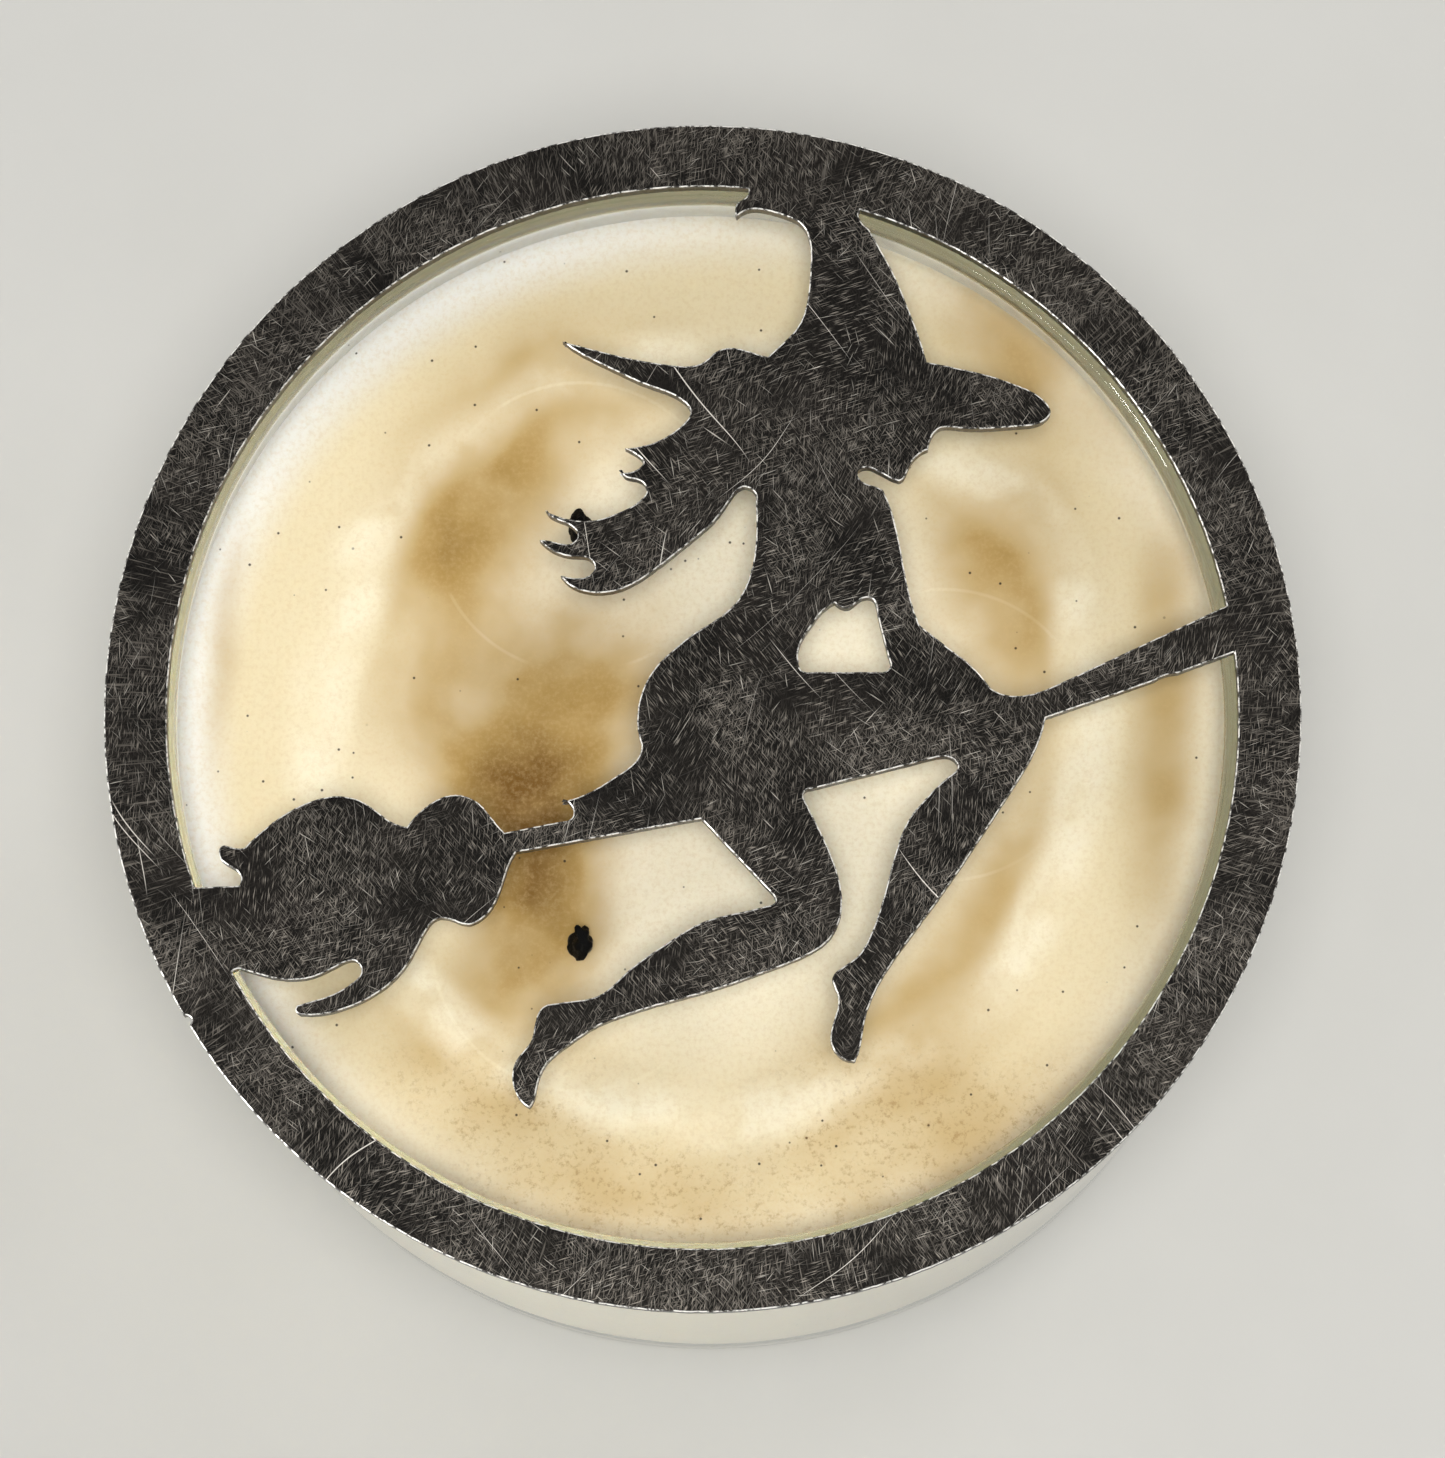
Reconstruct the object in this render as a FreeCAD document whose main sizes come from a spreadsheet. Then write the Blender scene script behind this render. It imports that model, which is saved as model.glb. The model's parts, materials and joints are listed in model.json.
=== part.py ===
"""Three-wick jar candle with a flat laser-cut steel topper.

A thick clear glass jar holds a cast wax fill.  Three braided wicks stand in crimped steel
sustainers, each held to the glass floor by an adhesive dot.  A sheet-steel ring with a
silhouette cut in one piece with it lies loose on the rim of the jar.

Frame: millimetres, +Z up, origin on the resting plane under the middle of the jar.
+X points the way the figure flies, +Y towards the top of the figure's hat.
"""

import FreeCAD, Part
import math
import os
import Sketcher
from FreeCAD import Placement, Rotation, Vector

# Driving dimensions, in millimetres and degrees.
DIMENSIONS = {
    "jar_radius": 50.5,
    "jar_height": 88.0,
    "jar_wall": 4.0,
    "jar_floor": 8.0,
    "rim_bead": 0.8,
    "rim_bead_depth": 3.4,
    "rim_round": 2.2,
    "bead_blend": 1.2,
    "heel_radius": 8.0,
    "cavity_radius": 9.0,
    "foot_width": 5.0,
    "punt_depth": 1.2,
    "wax_level": 75.5,
    "meniscus_rise": 1.2,
    "meniscus_width": 2.0,
    "fit_gap": 0.05,
    "wick_circle": 21.5,
    "wick_radius": 1.3,
    "wick_stub": 3.0,
    "wick_dome": 0.6,
    "dot_radius": 7.0,
    "dot_thickness": 0.8,
    "sustainer_radius": 10.0,
    "sustainer_sheet": 0.4,
    "neck_wall": 0.45,
    "neck_height": 6.0,
    "plate_radius": 52.0,
    "plate_opening": 46.45,
    "plate_thickness": 1.9,
    "plate_shift": 0.25,
    "nick_radius": 0.45,
    "nick_bearing": 211.0,
}
WICK_COUNT = 3
WICK_ANGLES = [360.0 / WICK_COUNT * index for index in range(WICK_COUNT)]

# Outline of the flying figure, in the plate's own plane, as runs that meet at sharp corners.
# A run of two points is a straight cut and a longer one is a smooth spline.  Where the
# figure joins the ring, its outline ends part of the way across the ring's band.
HAT_BACK = [
    [(4.0, 49.5), (4.0, 46.2)],
    [(4.0, 46.2), (3.7, 45.5), (3.0, 45.0), (2.8, 44.3), (3.0, 43.7)],
    [(3.0, 43.7), (4.2, 44.4), (5.6, 44.3), (7.3, 43.8), (8.7, 43.0), (9.3, 41.7), (9.4, 39.0),
     (9.1, 36.2), (8.4, 34.2), (7.1, 32.7), (5.7, 31.4)],
]
BRIM_BACK = [
    [(5.7, 31.4), (4.3, 31.8), (2.4, 32.2), (1.1, 31.8), (0.2, 31.0), (-1.0, 30.6), (-3.0, 30.7),
     (-5.5, 31.1), (-8.5, 31.8), (-12.3, 32.8)],
    [(-12.3, 32.8), (-10.6, 31.6), (-8.0, 30.3), (-4.8, 28.8), (-1.8, 27.5), (-1.1, 26.6),
     (-2.2, 25.0), (-4.0, 23.9), (-6.8, 23.3)],
]
HAIR = [
    [(-6.8, 23.3), (-5.8, 22.7), (-5.2, 22.0), (-5.8, 21.4), (-7.1, 21.3)],
    [(-7.1, 21.3), (-6.4, 20.6), (-5.5, 20.4), (-4.9, 19.7), (-5.7, 18.5), (-7.4, 17.6),
     (-9.3, 17.0), (-11.3, 17.0), (-13.7, 17.9)],
    [(-13.7, 17.9), (-12.8, 17.0), (-11.3, 16.3), (-10.9, 15.6), (-11.3, 15.0), (-12.6, 15.0),
     (-14.2, 15.2)],
    [(-14.2, 15.2), (-13.0, 14.2), (-11.3, 13.7), (-9.7, 13.4), (-9.4, 12.8), (-9.9, 12.1),
     (-11.1, 11.9), (-12.4, 12.1)],
    [(-12.4, 12.1), (-11.7, 11.3), (-10.5, 10.7), (-8.6, 10.5), (-6.6, 11.0), (-4.0, 12.6),
     (-0.4, 15.5), (1.4, 17.2), (2.7, 19.1), (3.6, 19.8), (4.4, 19.5), (4.6, 18.6)],
]
BACK = [
    [(4.6, 18.6), (4.65, 15.5), (4.2, 12.4), (3.2, 10.1), (1.6, 8.5), (-0.6, 7.1), (-2.4, 5.7),
     (-4.2, 3.9), (-5.3, 1.8), (-5.7, -0.4), (-5.3, -2.8)],
    [(-5.3, -2.8), (-5.6, -3.9), (-7.5, -5.5), (-9.6, -6.8), (-12.1, -7.7)],
    [(-12.1, -7.7), (-11.4, -8.1), (-11.2, -8.8), (-12.0, -9.4)],
]
BROOM_HEAD = [
    [(-12.0, -9.4), (-17.1, -10.4)],
    [(-17.1, -10.4), (-18.0, -9.4), (-19.5, -7.7), (-21.6, -7.1), (-23.5, -7.8), (-25.6, -9.9)],
    [(-25.6, -9.9), (-27.0, -9.4), (-29.4, -7.7), (-31.6, -7.2), (-33.8, -7.6), (-36.7, -9.1),
     (-39.4, -11.4)],
    [(-39.4, -11.4), (-40.5, -11.7), (-41.7, -11.6), (-41.9, -12.2), (-41.4, -13.1),
     (-40.4, -13.7), (-40.0, -14.3), (-40.1, -15.0)],
    [(-40.1, -15.0), (-47.5, -15.3)],
    [(-47.5, -15.3), (-43.0, -25.0)],
    [(-43.0, -25.0), (-40.7, -22.7)],
    [(-40.7, -22.7), (-40.4, -22.4), (-39.7, -22.4)],
    [(-39.7, -22.4), (-38.0, -22.9), (-35.5, -23.3), (-33.2, -22.9), (-31.2, -21.9),
     (-29.9, -21.7), (-29.5, -22.4), (-30.3, -23.5), (-32.3, -24.6), (-35.0, -25.4)],
    [(-35.0, -25.4), (-35.2, -25.9), (-34.7, -26.3)],
    [(-34.7, -26.3), (-33.0, -26.3), (-30.6, -25.7), (-27.7, -24.2), (-25.5, -22.0),
     (-23.8, -18.9), (-22.9, -18.0), (-22.0, -18.0), (-20.3, -18.5), (-18.7, -17.7),
     (-17.4, -15.4), (-16.7, -13.3), (-16.1, -12.2)],
    [(-16.1, -12.2), (-0.1, -9.3)],
]
REAR_LEG = [
    [(-0.1, -9.3), (6.1, -15.9)],
    [(6.1, -15.9), (6.25, -16.5), (5.6, -16.8)],
    [(5.6, -16.8), (2.6, -17.5), (0.3, -18.1), (-3.3, -20.2), (-6.7, -22.7), (-9.0, -24.6),
     (-10.7, -25.0), (-13.1, -25.3)],
    [(-13.1, -25.3), (-14.0, -25.8), (-14.5, -27.2), (-14.9, -28.7), (-15.8, -29.8),
     (-16.4, -31.2), (-16.1, -33.1), (-14.9, -34.4)],
    [(-14.9, -34.4), (-14.5, -33.8), (-14.2, -32.5), (-13.4, -30.6), (-11.3, -28.8),
     (-9.2, -27.4), (-7.0, -26.5), (-3.5, -25.4), (0.3, -24.4), (6.6, -22.2), (9.6, -20.9),
     (11.1, -19.7), (12.0, -17.8), (12.1, -15.7), (11.2, -12.4), (9.3, -8.4), (8.8, -7.4)],
]
FRONT_LEG = [
    [(8.8, -7.4), (8.9, -6.9), (9.5, -6.7)],
    [(9.5, -6.7), (18.6, -4.4)],
    [(18.6, -4.4), (20.7, -3.9), (21.7, -4.1), (22.1, -4.7), (21.4, -5.5), (19.4, -7.4),
     (17.9, -9.2), (17.0, -11.2), (15.7, -15.9), (14.5, -19.4), (13.4, -21.2), (12.0, -22.2),
     (11.2, -23.1), (11.6, -24.4), (11.7, -25.4), (11.2, -27.2), (11.1, -28.9), (12.0, -30.1),
     (13.2, -30.4)],
    [(13.2, -30.4), (13.6, -29.4), (14.1, -26.7), (15.5, -23.3), (18.8, -18.6), (23.2, -12.4),
     (26.8, -6.9), (29.0, -3.1), (29.8, -0.5)],
]
BROOM_HANDLE = [
    [(29.8, -0.5), (39.2, 2.7)],
    [(39.2, 2.7), (40.2, 3.2), (41.3, 3.4)],
    [(41.3, 3.4), (49.3, 6.4)],
    [(49.3, 6.4), (49.0, 11.0)],
    [(49.0, 11.0), (30.6, 2.4)],
    [(30.6, 2.4), (28.8, 1.7), (27.0, 1.5), (25.1, 2.1)],
]
CHEST = [
    [(25.1, 2.1), (23.2, 4.3), (21.9, 5.3)],
    [(21.9, 5.3), (18.9, 7.7)],
    [(18.9, 7.7), (18.3, 9.4), (17.3, 14.3), (16.5, 17.8), (15.8, 19.5)],
]
HEAD = [
    [(15.8, 19.5), (14.5, 20.1), (13.7, 20.6), (13.6, 21.2), (14.1, 21.5), (15.2, 21.2),
     (16.3, 20.6), (17.1, 20.3)],
    [(17.1, 20.3), (17.6, 20.6), (18.0, 21.5), (18.8, 22.6), (19.7, 23.1)],
    [(19.7, 23.1), (20.0, 24.2), (20.6, 24.9), (22.0, 25.0), (24.6, 24.9), (27.5, 25.1),
     (29.6, 25.5), (30.4, 26.4), (29.9, 27.4), (27.6, 28.8), (25.7, 29.5), (23.5, 30.1),
     (19.6, 30.9)],
]
HAT_FRONT = [
    [(19.6, 30.9), (18.9, 33.3), (18.0, 35.7), (16.9, 38.4), (15.7, 40.7), (14.6, 42.7)],
    [(14.6, 42.7), (13.9, 43.4), (13.7, 44.0), (14.1, 44.6)],
    [(14.1, 44.6), (15.0, 47.5)],
    [(15.0, 47.5), (4.0, 49.5)],
]
FIGURE = (HAT_BACK + BRIM_BACK + HAIR + BACK + BROOM_HEAD + REAR_LEG + FRONT_LEG
          + BROOM_HANDLE + CHEST + HEAD + HAT_FRONT)

# The gap between the figure's arm and its side.
ARM_GAP = [
    [(8.4, 4.5), (8.5, 5.9), (9.5, 7.6), (10.4, 8.8), (11.5, 9.6)],
    [(11.5, 9.6), (13.4, 9.6), (14.0, 10.0), (14.8, 9.9), (15.1, 9.1), (15.8, 6.1), (16.3, 4.3)],
    [(16.3, 4.3), (16.1, 3.8), (15.5, 3.6)],
    [(15.5, 3.6), (9.4, 3.6)],
    [(9.4, 3.6), (8.6, 3.8), (8.4, 4.5)],
]


class Size:
    """A length that carries its value and the sheet expression that it stands for."""

    def __init__(self, value, text):
        self.value = value
        self.text = text

    def __add__(self, other):
        return Size(self.value + other.value, f"({self.text} + {other.text})")

    def __sub__(self, other):
        return Size(self.value - other.value, f"({self.text} - {other.text})")


ZERO = Size(0.0, "0")


def make_sheet(doc):
    """Write the driving dimensions to a spreadsheet and return them as bound sizes."""
    sheet = doc.addObject("Spreadsheet::Sheet", "Sizes")
    sizes = {}
    for row, (name, value) in enumerate(DIMENSIONS.items(), start=1):
        sheet.set(f"A{row}", name)
        sheet.set(f"B{row}", str(value))
        sheet.setAlias(f"B{row}", name)
        sizes[name] = Size(value, f"Sizes.{name}")
    doc.recompute()
    return sizes


def new_body(doc, label):
    body = doc.addObject("PartDesign::Body", label)
    body.Label = label
    return body


def origin_feature(body, role):
    return next(item for item in body.Origin.OriginFeatures if item.Role == role)


def new_sketch(body, name, role):
    sketch = body.newObject("Sketcher::SketchObject", name)
    sketch.AttachmentSupport = [(origin_feature(body, role), "")]
    sketch.MapMode = "FlatFace"
    return sketch


def bind_distance(sketch, kind, geometry, point, size):
    """Hold one vertex at a bound distance from the sketch's origin."""
    index = sketch.addConstraint(Sketcher.Constraint(kind, geometry, point, size.value))
    sketch.setExpression(f"Constraints[{index}]", size.text)


def profile_sketch(body, name, corners):
    """Draw a closed profile of straight edges on the XZ plane, each corner bound to the sheet."""
    sketch = new_sketch(body, name, "XZ_Plane")
    count = len(corners)
    points = [Vector(x.value, z.value, 0) for x, z in corners]
    for index in range(count):
        sketch.addGeometry(Part.LineSegment(points[index], points[(index + 1) % count]), False)
    for index in range(count):
        sketch.addConstraint(Sketcher.Constraint("Coincident", index, 2, (index + 1) % count, 1))
    for index, (x, z) in enumerate(corners):
        if x is ZERO:
            sketch.addConstraint(Sketcher.Constraint("PointOnObject", index, 1, -2))
        else:
            bind_distance(sketch, "DistanceX", index, 1, x)
        if z is ZERO:
            sketch.addConstraint(Sketcher.Constraint("PointOnObject", index, 1, -1))
        else:
            bind_distance(sketch, "DistanceY", index, 1, z)
    return sketch


def circle_sketch(body, name, radii):
    """Draw concentric circles about the origin on the XY plane, with bound radii."""
    sketch = new_sketch(body, name, "XY_Plane")
    for geometry, radius in enumerate(radii):
        sketch.addGeometry(Part.Circle(Vector(0, 0, 0), Vector(0, 0, 1), radius.value), False)
        sketch.addConstraint(Sketcher.Constraint("Coincident", geometry, 3, -1, 1))
        index = sketch.addConstraint(Sketcher.Constraint("Radius", geometry, radius.value))
        sketch.setExpression(f"Constraints[{index}]", radius.text)
    return sketch


def revolve(body, sketch, kind, axis):
    feature = body.newObject(f"PartDesign::{kind}", f"{body.Name}_{kind.lower()}")
    feature.Profile = sketch
    feature.ReferenceAxis = (sketch, [axis])
    feature.Angle = 360.0
    return feature


def pad(body, sketch, name, length):
    feature = body.newObject("PartDesign::Pad", name)
    feature.Profile = sketch
    feature.Length = length.value
    feature.setExpression("Length", length.text)
    return feature


def circle_edges(shape, height, radius):
    """Name the circular edges about the Z axis that lie at one height and radius."""
    names = []
    for index, edge in enumerate(shape.Edges, start=1):
        curve = edge.Curve
        if isinstance(curve, Part.Circle) and abs(curve.Center.z - height.value) < 1e-4:
            if abs(curve.Radius - radius.value) < 1e-4:
                names.append(f"Edge{index}")
    if not names:
        raise RuntimeError(f"no edge at height {height.value}, radius {radius.value}")
    return names


def fillet(body, name, places, radius):
    """Round the circular edges at the given heights and radii."""
    body.Document.recompute()
    base = body.Tip
    names = []
    for height, edge_radius in places:
        names += circle_edges(base.Shape, height, edge_radius)
    feature = body.newObject("PartDesign::Fillet", name)
    feature.Base = (base, names)
    feature.Radius = radius.value
    feature.setExpression("Radius", radius.text)
    return feature


def place_on_wick_circle(body, angle, height, sizes):
    """Move a body to one wick's place, bound to the wick circle and a height."""
    circle = sizes["wick_circle"]
    turn = math.radians(angle)
    place = Vector(circle.value * math.cos(turn), circle.value * math.sin(turn), height.value)
    body.Placement = Placement(place, Rotation())
    body.setExpression("Placement.Base.x", f"{circle.text} * cos({angle} deg)")
    body.setExpression("Placement.Base.y", f"{circle.text} * sin({angle} deg)")
    body.setExpression("Placement.Base.z", height.text)


def make_jar(doc, sizes):
    """Thick tumbler: a punt under the floor, a rounded heel and a fire-polished rim bead."""
    body = new_body(doc, "glass_jar")
    outer = sizes["jar_radius"]
    inner = outer - sizes["jar_wall"]
    lip = inner - sizes["rim_bead"]
    top = sizes["jar_height"]
    floor = sizes["jar_floor"]
    bead_end = top - sizes["rim_bead_depth"]
    wall_start = bead_end - sizes["rim_bead"]
    foot = outer - sizes["heel_radius"]
    punt = foot - sizes["foot_width"]
    corners = [
        (ZERO, sizes["punt_depth"]),
        (punt, sizes["punt_depth"]),
        (punt, ZERO),
        (outer, ZERO),
        (outer, top),
        (lip, top),
        (lip, bead_end),
        (inner, wall_start),
        (inner, floor),
        (ZERO, floor),
    ]
    revolve(body, profile_sketch(body, "jar_profile", corners), "Revolution", "V_Axis")
    fillet(body, "rim_fillet", [(top, outer), (top, lip)], sizes["rim_round"])
    fillet(body, "bead_fillet", [(bead_end, lip), (wall_start, inner)], sizes["bead_blend"])
    fillet(body, "heel_fillet", [(ZERO, outer)], sizes["heel_radius"])
    fillet(body, "cavity_fillet", [(floor, inner)], sizes["cavity_radius"])
    return body


def make_wax(doc, sizes):
    """Cast fill with a raised edge against the glass, and room around wicks and sustainers."""
    body = new_body(doc, "wax_fill")
    gap = sizes["fit_gap"]
    edge = sizes["jar_radius"] - sizes["jar_wall"] - gap
    bottom = sizes["jar_floor"] + gap
    level = sizes["wax_level"]
    corners = [
        (ZERO, bottom),
        (edge, bottom),
        (edge, level + sizes["meniscus_rise"]),
        (edge - sizes["meniscus_width"], level),
        (ZERO, level),
    ]
    revolve(body, profile_sketch(body, "wax_profile", corners), "Revolution", "V_Axis")
    fillet(body, "wax_corner", [(bottom, edge)], sizes["cavity_radius"] - gap)
    doc.recompute()
    uncut = body.Tip.Shape.Volume

    middle = sizes["wick_circle"]
    dot_top = sizes["jar_floor"] + sizes["dot_thickness"] + gap
    disc_top = dot_top + sizes["sustainer_sheet"]
    neck_top = dot_top + sizes["neck_height"]
    bore = middle + sizes["wick_radius"] + gap
    neck = middle + sizes["wick_radius"] + gap + sizes["neck_wall"] + gap
    disc = middle + sizes["sustainer_radius"] + gap
    above = level + sizes["wick_stub"]
    room = [
        (middle, sizes["jar_floor"]),
        (disc, sizes["jar_floor"]),
        (disc, disc_top),
        (neck, disc_top),
        (neck, neck_top),
        (bore, neck_top),
        (bore, above),
        (middle, above),
    ]
    sketch = profile_sketch(body, "wick_room_profile", room)
    groove = revolve(body, sketch, "Groove", f"Edge{len(room)}")
    pattern = body.newObject("PartDesign::PolarPattern", "wick_rooms")
    pattern.Originals = [groove]
    pattern.Axis = (origin_feature(body, "Z_Axis"), [""])
    pattern.Angle = 360.0
    pattern.Occurrences = WICK_COUNT
    body.Tip = pattern
    doc.recompute()
    one_room = uncut - groove.Shape.Volume
    all_rooms = uncut - pattern.Shape.Volume
    if one_room <= 0 or abs(all_rooms - WICK_COUNT * one_room) > 0.01 * all_rooms:
        raise RuntimeError("the rooms for the wicks weren't all cut")
    return body


def make_wick(doc, sizes, number, angle):
    """Braided cotton core from the sustainer's base to the burnt stub above the wax."""
    body = new_body(doc, f"wick_{number}")
    start = sizes["jar_floor"] + sizes["dot_thickness"]
    length = sizes["wax_level"] + sizes["wick_stub"] - start
    section = circle_sketch(body, f"wick_{number}_section", [sizes["wick_radius"]])
    pad(body, section, f"wick_{number}_pad", length)
    fillet(body, f"wick_{number}_dome", [(length, sizes["wick_radius"])], sizes["wick_dome"])
    place_on_wick_circle(body, angle, start, sizes)
    return body


def make_sustainer(doc, sizes, number, angle):
    """Stamped disc with a tall neck that is crimped on the wick."""
    body = new_body(doc, f"wick_sustainer_{number}")
    bore = sizes["wick_radius"] + sizes["fit_gap"]
    neck = bore + sizes["neck_wall"]
    sheet = sizes["sustainer_sheet"]
    corners = [
        (bore, ZERO),
        (sizes["sustainer_radius"], ZERO),
        (sizes["sustainer_radius"], sheet),
        (neck, sheet),
        (neck, sizes["neck_height"]),
        (bore, sizes["neck_height"]),
    ]
    sketch = profile_sketch(body, f"sustainer_{number}_profile", corners)
    revolve(body, sketch, "Revolution", "V_Axis")
    place_on_wick_circle(body, angle, sizes["jar_floor"] + sizes["dot_thickness"], sizes)
    return body


def make_dot(doc, sizes, number, angle):
    """Adhesive dot between a sustainer and the glass floor."""
    body = new_body(doc, f"adhesive_dot_{number}")
    section = circle_sketch(body, f"dot_{number}_section", [sizes["dot_radius"]])
    pad(body, section, f"dot_{number}_pad", sizes["dot_thickness"])
    place_on_wick_circle(body, angle, sizes["jar_floor"], sizes)
    return body


def add_run(sketch, run):
    """Add one run of an outline to a sketch, held where it is drawn."""
    points = [Vector(x, y, 0) for x, y in run]
    if len(points) == 2:
        index = sketch.addGeometry(Part.LineSegment(points[0], points[1]), False)
    else:
        curve = Part.BSplineCurve()
        curve.interpolate(points)
        index = sketch.addGeometry(curve, False)
    sketch.addConstraint(Sketcher.Constraint("Block", index))


def cut_nick(body, sizes):
    """Cut the lead-in nick through the ring's outer edge."""
    ring_volume = body.Tip.Shape.Volume
    bearing = math.radians(DIMENSIONS["nick_bearing"])
    edge = sizes["plate_radius"]
    radius = sizes["nick_radius"]
    middle = Vector(math.cos(bearing), math.sin(bearing), 0) * edge.value
    sketch = new_sketch(body, "nick", "XY_Plane")
    sketch.addGeometry(Part.Circle(middle, Vector(0, 0, 1), radius.value), False)
    index = sketch.addConstraint(Sketcher.Constraint("Radius", 0, radius.value))
    sketch.setExpression(f"Constraints[{index}]", radius.text)
    turn = f"(Sizes.nick_bearing * 1 deg)"
    bind_distance(sketch, "DistanceX", 0, 3, Size(middle.x, f"{edge.text} * cos{turn}"))
    bind_distance(sketch, "DistanceY", 0, 3, Size(middle.y, f"{edge.text} * sin{turn}"))
    cut = body.newObject("PartDesign::Pocket", "nick_pocket")
    cut.Profile = sketch
    cut.Type = "ThroughAll"
    cut.Reversed = True
    body.Document.recompute()
    if cut.Shape.Volume >= ring_volume:
        raise RuntimeError("the nick wasn't cut")


def make_plate(doc, sizes):
    """Sheet-steel ring and figure, cut in one piece, with a lead-in nick on the outer edge."""
    body = new_body(doc, "silhouette_plate")
    thickness = sizes["plate_thickness"]
    ring = circle_sketch(body, "ring", [sizes["plate_radius"], sizes["plate_opening"]])
    pad(body, ring, "ring_pad", thickness)
    doc.recompute()
    cut_nick(body, sizes)
    figure = new_sketch(body, "figure", "XY_Plane")
    for run in FIGURE + ARM_GAP:
        add_run(figure, run)
    pad(body, figure, "figure_pad", thickness)
    doc.recompute()

    shift = sizes["plate_shift"]
    height = sizes["jar_height"]
    body.Placement = Placement(Vector(shift.value, 0, height.value), Rotation())
    body.setExpression("Placement.Base.x", shift.text)
    body.setExpression("Placement.Base.z", height.text)
    return body


def check(doc, bodies):
    """Stop if any object failed or any sub-part isn't one valid solid."""
    for item in doc.Objects:
        if "Invalid" in item.State or "Error" in item.State:
            raise RuntimeError(f"{item.Name} failed: {item.State}")
    for body in bodies:
        shape = body.Shape
        if shape.isNull() or not shape.isValid() or len(shape.Solids) != 1:
            raise RuntimeError(f"{body.Label} isn't one valid solid")


def main():
    doc = FreeCAD.newDocument("jar_candle")
    sizes = make_sheet(doc)
    bodies = [make_jar(doc, sizes), make_wax(doc, sizes)]
    for number, angle in enumerate(WICK_ANGLES, start=1):
        bodies.append(make_wick(doc, sizes, number, angle))
        bodies.append(make_sustainer(doc, sizes, number, angle))
        bodies.append(make_dot(doc, sizes, number, angle))
    bodies.append(make_plate(doc, sizes))
    doc.recompute()
    check(doc, bodies)
    os.makedirs("parts", exist_ok=True)
    for body in bodies:
        body.Shape.exportStep(f"parts/{body.Label}.step")
        print(f"{body.Label}: {body.Shape.Volume:.0f} mm3")


main()
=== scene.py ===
"""Looks of the three-wick jar candle and its sheet-steel topper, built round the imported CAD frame.

Every length is in metres in the CAD's own frame: +Z up, +Y towards the top of the figure's hat.
"""

import json
import math

import bmesh
import bpy
import numpy as np
from mathutils import Matrix, Vector, noise
from mathutils.geometry import delaunay_2d_cdt

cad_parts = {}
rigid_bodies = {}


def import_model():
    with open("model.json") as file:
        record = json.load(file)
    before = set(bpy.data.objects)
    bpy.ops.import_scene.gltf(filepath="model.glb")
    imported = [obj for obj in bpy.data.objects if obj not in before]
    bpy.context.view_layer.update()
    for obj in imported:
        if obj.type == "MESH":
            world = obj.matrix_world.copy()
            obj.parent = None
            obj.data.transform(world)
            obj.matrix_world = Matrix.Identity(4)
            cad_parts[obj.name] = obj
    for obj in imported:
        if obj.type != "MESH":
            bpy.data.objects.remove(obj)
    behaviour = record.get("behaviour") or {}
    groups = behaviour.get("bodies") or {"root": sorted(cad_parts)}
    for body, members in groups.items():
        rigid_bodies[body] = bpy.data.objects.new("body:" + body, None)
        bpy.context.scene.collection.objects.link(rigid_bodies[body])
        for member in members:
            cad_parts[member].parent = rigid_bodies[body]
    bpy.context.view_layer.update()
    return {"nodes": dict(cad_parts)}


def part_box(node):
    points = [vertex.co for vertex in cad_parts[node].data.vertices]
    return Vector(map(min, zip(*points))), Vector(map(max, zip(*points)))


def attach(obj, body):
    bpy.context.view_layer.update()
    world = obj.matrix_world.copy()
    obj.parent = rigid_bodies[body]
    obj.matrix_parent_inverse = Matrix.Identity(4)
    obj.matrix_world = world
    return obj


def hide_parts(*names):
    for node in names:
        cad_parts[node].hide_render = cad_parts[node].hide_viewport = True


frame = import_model()

MM = 0.001
WICKS = (1, 2, 3)

# Places and sizes read from the frame.
jar_low, jar_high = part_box("glass_jar")
wax_low, wax_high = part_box("wax_fill")
plate_low, plate_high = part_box("silhouette_plate")
dot_low, dot_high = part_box("adhesive_dot_1")
sustainer_low, sustainer_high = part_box("wick_sustainer_1")
wick_low, wick_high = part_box("wick_1")
jar_radius = jar_high.x
jar_height = jar_high.z
cavity_floor = dot_low.z
plate_centre = (plate_low + plate_high) / 2
wick_radius = (wick_high.x - wick_low.x) / 2

# Shape details that the boxes don't give.  The jar and the tabs repeat the CAD's own sizes.
WALL = 4.0 * MM
RIM_BEAD = 0.8 * MM
RIM_BEAD_DEPTH = 3.4 * MM
RIM_ROUND = 2.2 * MM
BEAD_BLEND = 1.2 * MM
HEEL_ROUND = 8.0 * MM
CAVITY_ROUND = 9.0 * MM
PUNT_DEPTH = 1.2 * MM
FOOT_WIDTH = 5.0 * MM
MENISCUS_RISE = 1.2 * MM
MENISCUS_WIDTH = 0.7 * MM
WAX_LEVEL = wax_high.z - MENISCUS_RISE
SET_RING_RADIUS = 34.0 * MM
SET_RING_HEIGHT = 0.22 * MM
SET_RING_WIDTH = 1.8 * MM
POOL_RADIUS = 13.0 * MM
POOL_DEPTH = 0.45 * MM
POOL_SPREAD = 9.0 * MM
SHORE_HEIGHT = 0.05 * MM
SHORE_WIDTH = 0.7 * MM
COLLAR_HEIGHT = 0.3 * MM
COLLAR_WIDTH = 1.1 * MM
TAB_SHEET = 0.4 * MM
TAB_NECK_WALL = 0.45 * MM
TAB_FIT = 0.05 * MM
CUT_BREAK = 0.11 * MM
CUT_INSET = 0.045 * MM
CUT_FINE = 0.03 * MM
CUT_COARSE = 0.012 * MM
OUTLINE_STEP = 0.28 * MM
cavity_radius = jar_radius - WALL

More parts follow.
